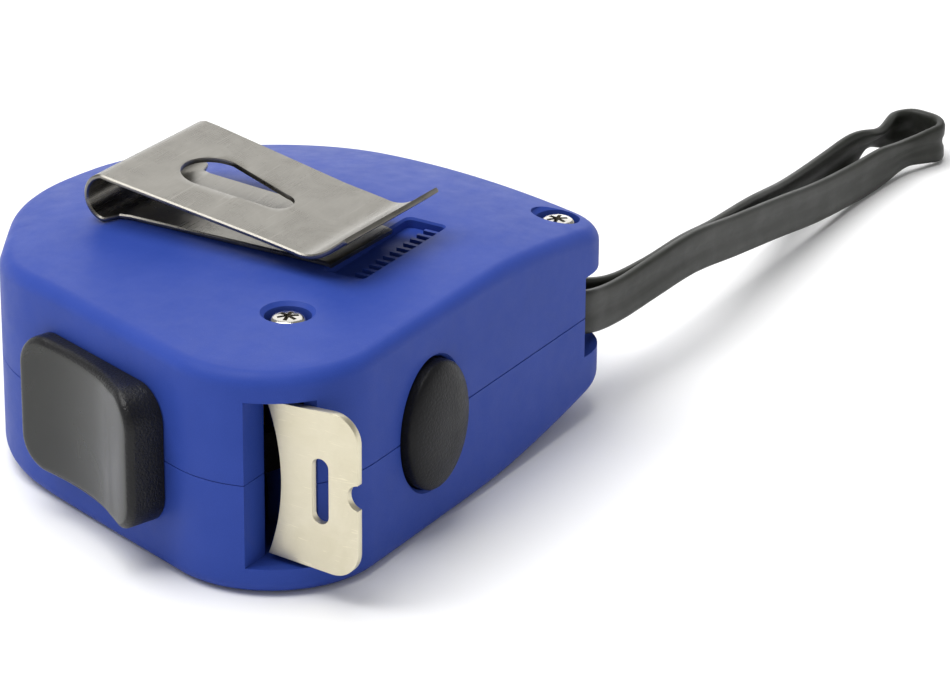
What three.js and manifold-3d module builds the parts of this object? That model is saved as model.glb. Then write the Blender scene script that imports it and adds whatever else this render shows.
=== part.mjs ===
// Pocket tape measure: 16 mm blade in a two-shell plastic case with a sliding lock, a brake
// button, a spring-steel belt clip and a looped wrist strap.
// Millimetres. It lies on its side: +Z is through the case's thickness (clip side up), the blade
// leaves along -X, and the case's base wall faces -Y. Origin: bottom centre of the body's box.
import * as THREE from 'three';
import { mergeVertices, toCreasedNormals } from 'three/addons/utils/BufferGeometryUtils.js';
import ManifoldModule from 'manifold-3d';

const wasm = await ManifoldModule();
wasm.setup();
const { Manifold } = wasm;

// ---------------------------------------------------------------- driving dimensions
const HALF = 12.5;            // half of the case's thickness at its flat middle
const WALL = 1.6;             // shell wall
const EDGE_R = 1.6;           // soft edge between a side wall and a face
const PARTING = 0.05;         // each shell stops this far from the parting plane
const BASE_Y = -25.2;         // outside of the base wall
const OUTLINE = [             // side outline: corners [x, y, corner radius]
  [-43.7, BASE_Y, 12.5],
  [23.0, BASE_Y, 6.3],
  [35.0, 35.3, 22.4],
  [-6.0, 34.6, 32.6],
  [-27.5, 21.8, 17.2],
];
const DOME = { level: 1.082, x: 0.207, y: 0.0735, xx: 0.208, yy: 0.224, xy: -0.009, span: 30 };

const BLADE_W = 16;           // blade width
const BLADE_T = 0.25;         // drawn thickness of the blade
const BLADE_SAG = 1.35;       // depth of the blade's curved section
const BLADE_EDGE_Y = -18.65;  // top face of the blade at its two edges
const BLADE_INNER_X = 13.8;   // inner end of the straight stretch
const HOOK_X = -34.8;         // outer face of the hook plate
const HOOK_T = 0.8;           // hook sheet
const HOOK_LOW_Y = -28.6;     // free edge of the hook plate
const HOOK_HALF = 9.2;        // half width of the hook at its free edge
const MOUTH_HALF = 9.35;      // half width of the mouth
const MOUTH_TOP_Y = -16.9;    // roof of the mouth
const MOUTH_FLOOR_Y = -21.3;  // floor of the mouth
const NOSE_X = -33.4;         // face that the hook closes against

const SPOOL = [-0.5, 5.0];    // spool centre
const SPOOL_R = 16.0;         // outside of the drum
const COIL_R = 20.5;          // outside of the wound blade
const COIL_PITCH = 1.25;
const SPINDLE_R = 2.8;
const SPINDLE_FOOT = 10.6;    // the spindle stands on the base shell's inner face

const BUTTON = { from: 7.8, to: 30.3, half: 7.8, corner: 3.8 };   // lock button along the front wall
const LOCK_TRAVEL = 4.0;      // the button slides this far towards the mouth
const BRAKE = { x: -15.1, r: 7.2, oval: 0.81, proud: 0.9, crown: 1.1 };   // button in the base wall

const SCREWS = [[-22.6, -12.3], [19.6, -19.8], [19.5, 23.0]];
const SCREW_HEAD_R = 2.1;
const RECESS_R = 2.5;
const BOSS_R = 2.5;
const STRAP_PIN = SCREWS[1];  // the strap loops round this boss
const STRAP_BOSS_R = 2.2;
const STRAP_SLOT = { x: 16.7, inner: 15.5, yTop: -14.9, low: -4.7, high: 4.8 };

const CLIP = { x: -3.9, y: 19.7, width: 19.2, sheet: 0.55, tiltDeg: 2 };
const CLIP_SEAT_Z = HALF + 0.06;

const STRAP_W = 5.2;          // band height
const STRAP_T = 1.2;          // band thickness
const STRAP_WAIST = { x: 101, reach: 4.2, narrowing: 0.3, lean: -0.75 };

const SHIFT = [5.68, -3.11, HALF];    // from the working axes to the body's bottom centre

// ---------------------------------------------------------------- materials
const material = (name, color, roughness, metalness) => {
  const m = new THREE.MeshStandardMaterial({ color, roughness, metalness });
  m.name = name;
  return m;
};
const MAT = {
  caseBlue: material('case_blue', 0x4150a4, 0.55, 0.0),
  black: material('black_plastic', 0x24252a, 0.45, 0.0),
  rubber: material('black_rubber', 0x1c1c1d, 0.8, 0.0),
  strap: material('strap_black', 0x2b2c29, 0.5, 0.0),
  nickel: material('nickel', 0xd8d2c2, 0.32, 1.0),
  clipSteel: material('spring_steel', 0x9b968c, 0.3, 1.0),
  zinc: material('zinc_screw', 0xc4c2bb, 0.25, 1.0),
  bladePaint: material('blade_yellow', 0xe3b72c, 0.45, 0.0),
  innerPlastic: material('inner_plastic', 0x3a3d44, 0.6, 0.0),
  springSteel: material('power_spring_steel', 0x6f7278, 0.35, 1.0),
};

// ---------------------------------------------------------------- solids from three.js geometry
function solidOf(geometry) {
  const bare = new THREE.BufferGeometry();
  bare.setAttribute('position', geometry.attributes.position.clone());
  if (geometry.index) bare.setIndex(geometry.index.clone());
  const welded = mergeVertices(bare, 1e-4);
  return new Manifold(new wasm.Mesh({
    numProp: 3,
    vertProperties: new Float32Array(welded.attributes.position.array),
    triVerts: new Uint32Array(welded.index.array),
  }));
}

function geometryOf(solid) {
  const mesh = solid.getMesh();
  const g = new THREE.BufferGeometry();
  g.setAttribute('position', new THREE.BufferAttribute(new Float32Array(mesh.vertProperties), 3));
  g.setIndex(new THREE.BufferAttribute(new Uint32Array(mesh.triVerts), 1));
  return g;
}

const shapeOf = (points) => new THREE.Shape(points.map(([x, y]) => new THREE.Vector2(x, y)));

function extrude(points, z0, z1, holes = []) {
  const shape = shapeOf(points);
  holes.forEach((hole) => shape.holes.push(shapeOf(hole)));
  const g = new THREE.ExtrudeGeometry(shape, { depth: z1 - z0, bevelEnabled: false });
  g.translate(0, 0, z0);
  return solidOf(g);
}

function box(x0, x1, y0, y1, z0, z1) {
  const g = new THREE.BoxGeometry(x1 - x0, y1 - y0, z1 - z0);
  g.translate((x0 + x1) / 2, (y0 + y1) / 2, (z0 + z1) / 2);
  return solidOf(g);
}

function cylinder(x, y, r, z0, z1, segments = 24, rTop = r) {
  const g = new THREE.CylinderGeometry(rTop, r, z1 - z0, segments);
  g.rotateX(Math.PI / 2);
  g.translate(x, y, (z0 + z1) / 2);
  return solidOf(g);
}

function lathe(profile, segments = 32) {
  const g = new THREE.LatheGeometry(profile.map(([r, h]) => new THREE.Vector2(r, h)), segments);
  return solidOf(g);
}

// ---------------------------------------------------------------- outlines
function arc(cx, cy, r, from, to, steps) {
  return Array.from({ length: steps + 1 }, (_, i) => {
    const a = from + ((to - from) * i) / steps;
    return [cx + r * Math.cos(a), cy + r * Math.sin(a)];
  });
}

// Counter-clockwise convex polygon with rounded corners; straight runs are cut into short pieces.
function rounded(corners, degreesPerStep = 8, maxRun = 1e9) {
  const out = [];
  const count = corners.length;
  corners.forEach(([x, y, r], i) => {
    const [px, py] = corners[(i + count - 1) % count];
    const [nx, ny] = corners[(i + 1) % count];
    const a0 = Math.atan2(y - py, x - px);
    const a1 = Math.atan2(ny - y, nx - x);
    let turn = a1 - a0;
    while (turn <= 0) turn += 2 * Math.PI;
    const reach = r * Math.tan(turn / 2);
    const startX = x - reach * Math.cos(a0);
    const startY = y - reach * Math.sin(a0);
    const cx = startX - r * Math.sin(a0);
    const cy = startY + r * Math.cos(a0);
    const steps = Math.max(2, Math.round((turn * 180) / Math.PI / degreesPerStep));
    out.push(...arc(cx, cy, r, a0 - Math.PI / 2, a0 - Math.PI / 2 + turn, steps));
  });
  const cut = [];
  out.forEach(([x, y], i) => {
    const [nx, ny] = out[(i + 1) % out.length];
    const length = Math.hypot(nx - x, ny - y);
    if (length < 1e-3) return;
    const pieces = Math.max(1, Math.ceil(length / maxRun));
    for (let k = 0; k < pieces; k += 1) {
      cut.push([x + ((nx - x) * k) / pieces, y + ((ny - y) * k) / pieces]);
    }
  });
  return cut;
}

const insetCorners = (corners, inset) => {
  const count = corners.length;
  const lines = corners.map(([x, y], i) => {
    const [nx, ny] = corners[(i + 1) % count];
    const l = Math.hypot(nx - x, ny - y);
    const n = [-(ny - y) / l, (nx - x) / l];
    return { x: x + n[0] * inset, y: y + n[1] * inset, dx: (nx - x) / l, dy: (ny - y) / l };
  });
  return corners.map(([, , r], i) => {
    const a = lines[(i + count - 1) % count];
    const b = lines[i];
    const t = ((b.x - a.x) * b.dy - (b.y - a.y) * b.dx) / (a.dx * b.dy - a.dy * b.dx);
    return [a.x + a.dx * t, a.y + a.dy * t, Math.max(0.6, r - inset)];
  });
};

// ---------------------------------------------------------------- crowned solid on a convex outline
// Straight side walls from z0, a rounded edge, then a face whose height is height(x, y).
function crowned(outline, centre, z0, height, edgeR, edgeSteps, faceScales) {
  const n = outline.length;
  const normals = outline.map((p, i) => {
    const a = outline[(i + n - 1) % n];
    const b = outline[(i + 1) % n];
    const l = Math.hypot(b[0] - a[0], b[1] - a[1]);
    return [-(b[1] - a[1]) / l, (b[0] - a[0]) / l];
  });
  const rings = [outline.map(([x, y]) => [x, y, z0])];
  for (let k = 0; k <= edgeSteps; k += 1) {
    const a = (Math.PI / 2) * (k / edgeSteps);
    const inset = edgeR * (1 - Math.cos(a));
    const drop = edgeR * (1 - Math.sin(a));
    rings.push(outline.map(([x, y], i) => {
      const qx = x + normals[i][0] * inset;
      const qy = y + normals[i][1] * inset;
      return [qx, qy, height(qx, qy) - drop];
    }));
  }
  const rim = rings[rings.length - 1];
  faceScales.forEach((s) => rings.push(rim.map(([x, y]) => {
    const qx = centre[0] + (x - centre[0]) * s;
    const qy = centre[1] + (y - centre[1]) * s;
    return [qx, qy, height(qx, qy)];
  })));
  const positions = rings.flat(2);
  const last = (rings.length - 1) * n;
  const bottomCentre = positions.length / 3;
  positions.push(centre[0], centre[1], z0, centre[0], centre[1], height(centre[0], centre[1]));
  const index = [];
  for (let i = 0; i < n; i += 1) {
    const j = (i + 1) % n;
    for (let k = 0; k < rings.length - 1; k += 1) {
      const a = k * n + i;
      const b = k * n + j;
      index.push(a, b, b + n, a, b + n, a + n);
    }
    index.push(bottomCentre, j, i, bottomCentre + 1, last + i, last + j);
  }
  const g = new THREE.BufferGeometry();
  g.setAttribute('position', new THREE.Float32BufferAttribute(positions, 3));
  g.setIndex(index);
  return solidOf(g);
}

// Half thickness of the case at a point: flat in the middle, falling away towards the rim.
function caseHeight(x, y) {
  const u = x / DOME.span;
  const v = y / DOME.span;
  const t = DOME.level - DOME.x * u - DOME.y * v - DOME.xx * u * u - DOME.yy * v * v - DOME.xy * u * v;
  return HALF * Math.min(1, t);
}

// ---------------------------------------------------------------- front wall frame
const CORNER_TOP = OUTLINE[4];
const FRONT_DIR = new THREE.Vector2(OUTLINE[0][0] - CORNER_TOP[0], OUTLINE[0][1] - CORNER_TOP[1]).normalize();
const FRONT_OUT = new THREE.Vector2(FRONT_DIR.y, -FRONT_DIR.x);
// Local axes: x along the front wall towards the mouth, y across the thickness, z out of the wall.
const FRONT_FRAME = new THREE.Matrix4().makeBasis(
  new THREE.Vector3(FRONT_DIR.x, FRONT_DIR.y, 0),
  new THREE.Vector3(0, 0, -1),
  new THREE.Vector3(FRONT_OUT.x, FRONT_OUT.y, 0),
).setPosition(CORNER_TOP[0], CORNER_TOP[1], 0);
const onFront = (solid) => solid.transform(FRONT_FRAME.toArray());

// ---------------------------------------------------------------- case shells
const CASE_CENTRE = [-12, -2];
const OUTER = crowned(rounded(OUTLINE, 7, 11), CASE_CENTRE, PARTING, caseHeight, EDGE_R, 4,
  [0.86, 0.62, 0.4]);
const CAVITY = crowned(rounded(insetCorners(OUTLINE, WALL), 11, 16), CASE_CENTRE, -1,
  (x, y) => caseHeight(x, y) - WALL, 1.2, 1, [0.8, 0.45]);

function nose() {
  const blocks = box(-45, -34.2, MOUTH_TOP_Y, -11.5, -1, 20)
    .add(box(-45, -27.5, -40, MOUTH_FLOOR_Y, -1, 20));
  const cheeks = box(-45, -32.5, -24, -11.5, MOUTH_HALF + 0.01, 20);
  return blocks.add(cheeks).intersect(OUTER);
}

function bosses(cover) {
  return SCREWS.map(([x, y], i) => {
    const r = i === 1 ? STRAP_BOSS_R : BOSS_R;
    const tube = cylinder(x, y, r, PARTING, 20, 20);
    if (!cover) return tube;
    const collar = cylinder(x, y, RECESS_R + 1.3, caseHeight(x, y) - 4.2, 20, 24);
    return tube.add(collar);
  }).reduce((a, b) => a.add(b)).intersect(OUTER);
}

function strapPocketWall() {
  const { inner, yTop } = STRAP_SLOT;
  const wall = box(inner - 1.2, inner, BASE_Y, yTop + 1.2, -1, 20);
  return wall.add(box(inner - 1.2, 28, yTop, yTop + 1.2, -1, 20)).intersect(OUTER);
}

function brakeHole(radius) {
  const g = new THREE.CylinderGeometry(radius, radius, 6, 36);
  g.scale(BRAKE.oval, 1, 1);
  g.translate(BRAKE.x, BASE_Y, 0);
  return solidOf(g);
}

function shellCuts() {
  const mouth = box(-60, NOSE_X, -45, MOUTH_TOP_Y, -MOUTH_HALF, MOUTH_HALF)
    .add(box(-60, -20, MOUTH_FLOOR_Y, MOUTH_TOP_Y, -MOUTH_HALF, MOUTH_HALF));
  const lockSlot = onFront(box(14.5, 21.5 + LOCK_TRAVEL + 0.5, -2.6, 2.6, -4, 3));
  const { x, inner, yTop, low, high } = STRAP_SLOT;
  const strapBox = box(x, 45, -45, yTop, low, high)
    .add(box(inner, 45, BASE_Y + 1.6, yTop, low, high))
    .subtract(cylinder(STRAP_PIN[0], STRAP_PIN[1], STRAP_BOSS_R, -20, 20, 20));
  return mouth.add(lockSlot).add(brakeHole(BRAKE.r + 0.2)).add(strapBox);
}

function clipPocket() {
  const pocket = box(-11.4, 5.6, -14.2, -9.3, HALF - 1.2, 20);
  const ribs = Array.from({ length: 12 }, (_, i) => {
    const x = -10.8 + i * 1.36;
    return box(x, x + 0.5, -14.5, -12.2, HALF - 1.3, HALF - 0.7);
  }).reduce((a, b) => a.add(b));
  return pocket.subtract(ribs);
}

function shell(cover) {
  let body = OUTER.subtract(CAVITY).add(nose()).add(bosses(cover)).add(strapPocketWall());
  if (cover) {
    const socket = cylinder(SPOOL[0], SPOOL[1], SPINDLE_R + 1.6, 9.2, 11.9, 24);
    body = body.add(socket).subtract(cylinder(SPOOL[0], SPOOL[1], SPINDLE_R + 0.1, 5, 10.9, 24));
    SCREWS.forEach(([x, y]) => {
      const seat = caseHeight(x, y) - 1.9;
      body = body.subtract(cylinder(x, y, RECESS_R, seat, 20, 24));
      body = body.subtract(cylinder(x, y, 1.55, -1, 20, 16));
    });
    body = body.subtract(clipPocket());
  } else {
    body = body.mirror([0, 0, 1]);
    SCREWS.forEach(([x, y]) => {
      body = body.subtract(cylinder(x, y, 1.45, screwTip(x, y) - 0.3, 1, 16));
    });
  }
  return body.subtract(shellCuts());
}

const screwTip = (x, y) => 2.3 - caseHeight(x, y);

function screw([x, y]) {
  const seat = caseHeight(x, y) - 1.9 + 0.02;
  const head = lathe([[0, 0], [SCREW_HEAD_R, 0], [SCREW_HEAD_R, 0.75], [1.75, 1.3], [0, 1.5]], 24)
    .transform(new THREE.Matrix4().makeRotationX(Math.PI / 2).setPosition(x, y, seat).toArray());
  const arms = Array.from({ length: 3 }, (_, i) => {
    const bar = box(-1.15, 1.15, -0.2, 0.2, 0, 4).rotate([0, 0, 60 * i + 15]);
    return bar.translate([x, y, seat + 0.75]);
  }).reduce((a, b) => a.add(b));
  const shank = cylinder(x, y, 1.35, screwTip(x, y), seat + 0.2, 16);
  return head.add(shank).subtract(arms);
}

// ---------------------------------------------------------------- blade, hook, spool
const BLADE_RADIUS = ((BLADE_W / 2) ** 2 + BLADE_SAG ** 2) / (2 * BLADE_SAG);
const BLADE_MID_Y = BLADE_EDGE_Y - BLADE_SAG;
const BLADE_AXIS_Y = BLADE_MID_Y + BLADE_RADIUS;

// Strip of the blade's curved section in the Y-Z plane, between two offsets above its top face.
function curvedStrip(low, high, half, x0, x1, steps = 12) {
  const a = Math.asin(half / BLADE_RADIUS);
  const row = (offset) => Array.from({ length: steps + 1 }, (_, i) => {
    const t = -a + (2 * a * i) / steps;
    const r = BLADE_RADIUS - offset;
    return [BLADE_AXIS_Y - r * Math.cos(t), r * Math.sin(t)];
  });
  const points = [...row(low), ...row(high).reverse()];
  // the extrusion axis becomes X, the shape's x becomes Y and its y becomes Z
  const turn = new THREE.Matrix4().makeBasis(
    new THREE.Vector3(0, 1, 0), new THREE.Vector3(0, 0, 1), new THREE.Vector3(1, 0, 0));
  return extrude(points, x0, x1).transform(turn.toArray());
}

const HOOK_TONGUE = [0.02, HOOK_T - 0.15];       // sheet of the tongue above the blade's top face
const TONGUE_END_X = -24.1;
const RIVETS = [[-28.1, 3.9], [-28.1, -3.9], [-25.7, 0]];

function bladeStrip() {
  const strip = curvedStrip(-BLADE_T, 0, BLADE_W / 2, HOOK_X + HOOK_T + 0.05, BLADE_INNER_X, 12);
  return strip;
}

function endHook() {
  const tongue = curvedStrip(HOOK_TONGUE[0], HOOK_TONGUE[1], 6.4, HOOK_X + 0.3, TONGUE_END_X, 10);
  const outline = rounded([
    [HOOK_LOW_Y, -HOOK_HALF, 3.0], [-15, -8.45, 0.2], [-15, 8.45, 0.2], [HOOK_LOW_Y, HOOK_HALF, 3.0],
  ], 18);
  const turn = new THREE.Matrix4().makeBasis(
    new THREE.Vector3(0, 1, 0), new THREE.Vector3(0, 0, 1), new THREE.Vector3(1, 0, 0));
  const slot = [...arc(-24.1, 2.95, 0.7, 0, Math.PI, 6), ...arc(-24.1, -2.95, 0.7, Math.PI, 2 * Math.PI, 6)];
  const notch = arc(HOOK_LOW_Y - 0.2, 0.3, 1.45, 0, 2 * Math.PI, 16).slice(1);
  let plate = extrude(outline, HOOK_X, HOOK_X + HOOK_T, [slot]).subtract(extrude(notch, -60, 0));
  plate = plate.transform(turn.toArray());
  // the plate's upper edge follows the curve of the tongue
  const above = curvedStrip(HOOK_TONGUE[1], HOOK_TONGUE[1] + 8, 14, HOOK_X - 1, HOOK_X + HOOK_T + 1, 16);
  plate = plate.subtract(above);
  const slots = RIVETS.map(([x, z]) => rivetSlot(x, z)).reduce((a, b) => a.add(b));
  return plate.add(tongue).subtract(slots);
}

function alongY(radius, y0, y1, x, z, segments = 14) {
  const g = new THREE.CylinderGeometry(radius, radius, y1 - y0, segments);
  g.translate(x, (y0 + y1) / 2, z);
  return solidOf(g);
}

function rivetSlot(x, z) {
  return alongY(0.95, -25, -10, x, z).add(box(x, x + 1.0, -25, -10, z - 0.95, z + 0.95))
    .add(alongY(0.95, -25, -10, x + 1.0, z));
}

const surfaceY = (z) => BLADE_AXIS_Y - Math.sqrt(BLADE_RADIUS ** 2 - z ** 2);

function rivet([x, z]) {
  const top = surfaceY(z);
  const shank = alongY(0.8, top + 0.2, top + 1.15, x, z);
  const head = alongY(1.45, top + 0.95, top + 1.4, x, z, 18);
  return shank.add(head);
}

function spiral(r0, pitch, turns, thickness, z0, z1, perTurn, startAngle = 0) {
  const steps = Math.round(turns * perTurn);
  const row = (offset) => Array.from({ length: steps + 1 }, (_, i) => {
    const a = (2 * Math.PI * i) / perTurn;
    const r = r0 + (pitch * i) / perTurn + offset;
    return [SPOOL[0] + r * Math.cos(a + startAngle), SPOOL[1] + r * Math.sin(a + startAngle)];
  });
  return extrude([...row(thickness / 2), ...row(-thickness / 2).reverse()], z0, z1);
}

function spool() {
  const [x, y] = SPOOL;
  const ring = cylinder(x, y, SPOOL_R, -8.4, 8.4, 40).subtract(cylinder(x, y, SPOOL_R - 0.9, -7.5, 9, 40));
  return ring.subtract(cylinder(x, y, SPINDLE_R + 0.3, -9, -7, 24));
}

function spoolCover() {
  const [x, y] = SPOOL;
  const disc = cylinder(x, y, SPOOL_R - 1.15, 7.4, 8.2, 40);
  return disc.subtract(cylinder(x, y, SPINDLE_R + 0.3, 7, 9, 24));
}

function spindle() {
  const [x, y] = SPOOL;
  const post = cylinder(x, y, SPINDLE_R, -SPINDLE_FOOT, 10.7, 28);
  return post.subtract(box(x - 0.4, x + 0.4, y - 5, y + 5, -6.5, 12));
}

// ---------------------------------------------------------------- lock
// Height of the thumb face above the wall, along the button: shallow scoop, then a ridge.
function thumbHeight(x) {
  const t = (x - BUTTON.from) / (BUTTON.to - BUTTON.from);
  const ridge = 1 / (1 + Math.exp(-(t - 0.84) * 14));
  return 2.75 - 0.75 * Math.sin(Math.PI * Math.min(1, t / 0.75)) + 2.0 * ridge;
}

function lockButton() {
  const { from, to, half, corner } = BUTTON;
  const outline = rounded([[from, -half, corner], [to, -half, corner], [to, half, corner], [from, half, corner]],
    15, 2.4);
  const pad = crowned(outline, [(from + to) / 2, 0], 0.15, (x) => thumbHeight(x), 0.9, 3,
    [0.86, 0.7, 0.52, 0.34, 0.17]);
  const stem = box(15, 21, -2.3, 2.3, -WALL - 0.35, 0.6);
  return onFront(pad.add(stem));
}

function lockSlider() {
  return onFront(box(11.5, 24.5, -4.8, 4.8, -WALL - 1.5, -WALL - 0.4));
}

// Side profile in the front frame (along the wall, out of it), extruded across the thickness.
function acrossFront(side, low, high) {
  const turn = new THREE.Matrix4().makeBasis(
    new THREE.Vector3(1, 0, 0), new THREE.Vector3(0, 0, 1), new THREE.Vector3(0, -1, 0));
  return extrude(side, low, high).transform(turn.toArray());
}

function lockShoe() {
  // along the front wall and out of it, from the slider down to the tip that bears on the blade
  const side = [[13, -3.2], [13, -5.2], [20, -6.0], [29, -9.0], [35.3, -11.2], [35.3, -8.8], [30, -6.0],
    [24, -3.2]];
  return onFront(acrossFront(side, -2.2, 2.2));
}

function lockDetent() {
  const side = [[6.8, -2.1], [9.4, -3.85], [15, -4.2], [18, -3.6], [21, -4.2], [21, -3.9], [18, -3.3], [15, -3.9],
    [9.6, -3.5], [7, -1.7]];
  return onFront(acrossFront(side, 3, 6.2));
}

// ---------------------------------------------------------------- brake
function brakeButton() {
  const { x, r, oval, proud, crown } = BRAKE;
  const face = BASE_Y - proud;
  const flange = BASE_Y + WALL + 0.05;
  // revolved about an axis along Y, from the crown inwards to the retaining flange
  const profile = [[0, face - crown], [r * 0.45, face - crown * 0.82], [r * 0.8, face - crown * 0.35],
    [r, face + 0.35], [r, flange], [r + 0.9, flange], [r + 0.9, flange + 0.9], [0, flange + 0.9]];
  return lathe(profile, 36).scale([oval, 1, 1]).translate([x, 0, 0]);
}

function brakePad() {
  return alongY(3.2, -22.62, -21.85, BRAKE.x, 0, 24);
}

function brakeSpring() {
  const leaf = box(-7.6, -3.4, -22.95, -22.55, -5.5, 5.5);
  return leaf.add(box(-5.2, -3.8, -23.55, -22.5, -5.5, 5.5));
}

// ---------------------------------------------------------------- belt clip
const clipFrame = new THREE.Matrix4().makeTranslation(CLIP.x, CLIP.y, 0)
  .multiply(new THREE.Matrix4().makeRotationZ(THREE.MathUtils.degToRad(-CLIP.tiltDeg)));

// A bent strip: centre line in (along -Y, up) given as a path, extruded across the clip's width.
function bentStrip(line, half) {
  const n = line.length;
  const side = (sign) => line.map(([a, b], i) => {
    const p = line[Math.max(0, i - 1)];
    const q = line[Math.min(n - 1, i + 1)];
    const l = Math.hypot(q[0] - p[0], q[1] - p[1]);
    const h = (sign * CLIP.sheet) / 2;
    return [a - ((q[1] - p[1]) / l) * h, b + ((q[0] - p[0]) / l) * h];
  });
  const strip = extrude([...side(-1), ...side(1).reverse()], -half, half);
  // shape x runs along -Y, shape y up, extrusion across X
  const turn = new THREE.Matrix4().makeBasis(
    new THREE.Vector3(0, -1, 0), new THREE.Vector3(0, 0, 1), new THREE.Vector3(-1, 0, 0));
  return strip.transform(turn.toArray());
}

const CLIP_LOOP_R = 2.52;                       // centre-line radius of the bend
const CLIP_LOOP = [2.8, CLIP_SEAT_Z + CLIP.sheet / 2 + CLIP_LOOP_R];   // along -Y from y = 18, up
const CLIP_SPLIT = Math.PI;                     // the bend is cut at its rearmost point

function clipBase() {
  const [a, b] = CLIP_LOOP;
  const bend = arc(a, b, CLIP_LOOP_R, CLIP_SPLIT + 0.07, 1.5 * Math.PI, 5);
  const legZ = CLIP_SEAT_Z + CLIP.sheet / 2;
  const flat = bentStrip([...bend, [28.9, legZ], [29.8, legZ - 0.14]], CLIP.width / 2);
  const plan = [[-7.4, 1], [-7.4, -4], [-5.6, -33], [5.6, -33], [7.4, -4], [7.4, 1]];
  const leg = flat.intersect(extrude(plan, 8, 25));
  const wide = bentStrip([...bend, [5.2, legZ]], CLIP.width / 2);
  return leg.add(wide).transform(clipFrame.toArray());
}

function clipArm() {
  const [a, b] = CLIP_LOOP;
  const bend = arc(a, b, CLIP_LOOP_R, CLIP_SPLIT - 0.07, 0.5 * Math.PI + 0.17, 5);
  const lowZ = CLIP_SEAT_Z + CLIP.sheet + 1.65;
  const line = [...bend, [27.0, lowZ + 0.12], [28.4, lowZ - 0.04], [29.8, lowZ + 0.18], [31.4, lowZ + 0.95],
    [34.0, lowZ + 2.95]];
  const half = CLIP.width / 2;
  const plan = [[-half, 1], [-half, -4], [0.5 - half, -22], [0.5 - half, -36], [half - 1.4, -36],
    [half - 1.4, -22], [half, -4], [half, 1]];
  const arm = bentStrip(line, half + 1).intersect(extrude(plan, 8, 28));
  const hole = [...arc(-0.3, -10.6, 3.6, 0, Math.PI, 10), ...arc(-0.8, -19.2, 2.0, Math.PI, 2 * Math.PI, 8)];
  return arm.subtract(extrude(hole, 12, 25)).transform(clipFrame.toArray());
}

// ---------------------------------------------------------------- wrist strap
// Centre line of the band: round the boss, out along the near run, back along the far run.
const STRAP_OUT = [[20.9, -23.2, -1.2], [24.5, -23.1, -2.0], [29, -23.05, -2.45], [36, -23.1, -2.55],
  [45, -23.1, -2.85], [56, -22.8, -4.7], [67, -22.5, -6.5], [78, -22.2, -8.4], [89, -22.0, -9.6],
  [96, -22.2, -9.8], [101, -22.7, -9.8], [104, -23.8, -9.8], [106.6, -24.6, -9.8]];
const STRAP_BACK = [[108.4, -23.4, -9.8], [109.0, -21.4, -9.8], [109.0, -19.6, -9.8], [107.6, -18.2, -9.8],
  [104.5, -17.9, -9.3], [98.5, -18.2, -8.5], [88, -18.0, -8.9], [76, -18.8, -8.1], [64, -20.2, -6.0],
  [52, -21.4, -4.5], [45, -21.75, -3.55], [36, -21.7, -3.3], [29, -20.9, -3.0], [24.5, -19.4, -2.0],
  [20.9, -17.2, -1.2]];

function strapLine() {
  const [x, y] = STRAP_PIN;
  const r = STRAP_BOSS_R + 0.25 + STRAP_T / 2;
  const turn = (from, to) => arc(x, y, r, from, to, 4).map(([a, b]) => [a, b, -0.8]);
  const deg = Math.PI / 180;
  const points = [...turn(184 * deg, 262 * deg), ...STRAP_OUT, ...STRAP_BACK, ...turn(98 * deg, 176 * deg)];
  return new THREE.CatmullRomCurve3(points.map(([a, b, c]) => new THREE.Vector3(a, b, c)), false, 'centripetal');
}

function strap() {
  const line = strapLine();
  const steps = 120;
  const points = line.getSpacedPoints(steps);
  const positions = [];
  points.forEach((p, i) => {
    const t = points[Math.min(steps, i + 1)].clone().sub(points[Math.max(0, i - 1)]);
    // the band narrows before the turned end, where its far run also leans in
    const waist = Math.exp(-(((p.x - STRAP_WAIST.x) / STRAP_WAIST.reach) ** 2));
    const lean = t.x < 0 ? waist * STRAP_WAIST.lean : 0;
    const n = new THREE.Vector3(-t.y, t.x, 0).normalize().applyAxisAngle(t.clone().normalize(), lean);
    const up = new THREE.Vector3(0, 0, 1).applyAxisAngle(t.normalize(), lean);
    const half = (STRAP_W / 2) * (1 - STRAP_WAIST.narrowing * waist);
    [[1, -1], [1, 1], [-1, 1], [-1, -1]].forEach(([s, h]) => {
      const q = p.clone().addScaledVector(n, (s * STRAP_T) / 2).addScaledVector(up, h * half);
      positions.push(q.x, q.y, q.z);
    });
  });
  const index = [0, 2, 1, 0, 3, 2];
  for (let i = 0; i < steps; i += 1) {
    for (let k = 0; k < 4; k += 1) {
      const a = i * 4 + k;
      const b = i * 4 + ((k + 1) % 4);
      index.push(a, b, b + 4, a, b + 4, a + 4);
    }
  }
  const e = steps * 4;
  index.push(e, e + 1, e + 2, e, e + 2, e + 3);
  const g = new THREE.BufferGeometry();
  g.setAttribute('position', new THREE.Float32BufferAttribute(positions, 3));
  g.setIndex(index);
  return solidOf(g);
}

// ---------------------------------------------------------------- assembly
const tape = new THREE.Group();
tape.name = 'tape_measure';

function add(name, solid, mat) {
  const geometry = toCreasedNormals(geometryOf(solid), 0.5);
  const mesh = new THREE.Mesh(geometry, mat);
  mesh.name = name;
  mesh.position.set(...SHIFT);
  tape.add(mesh);
}

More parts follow.
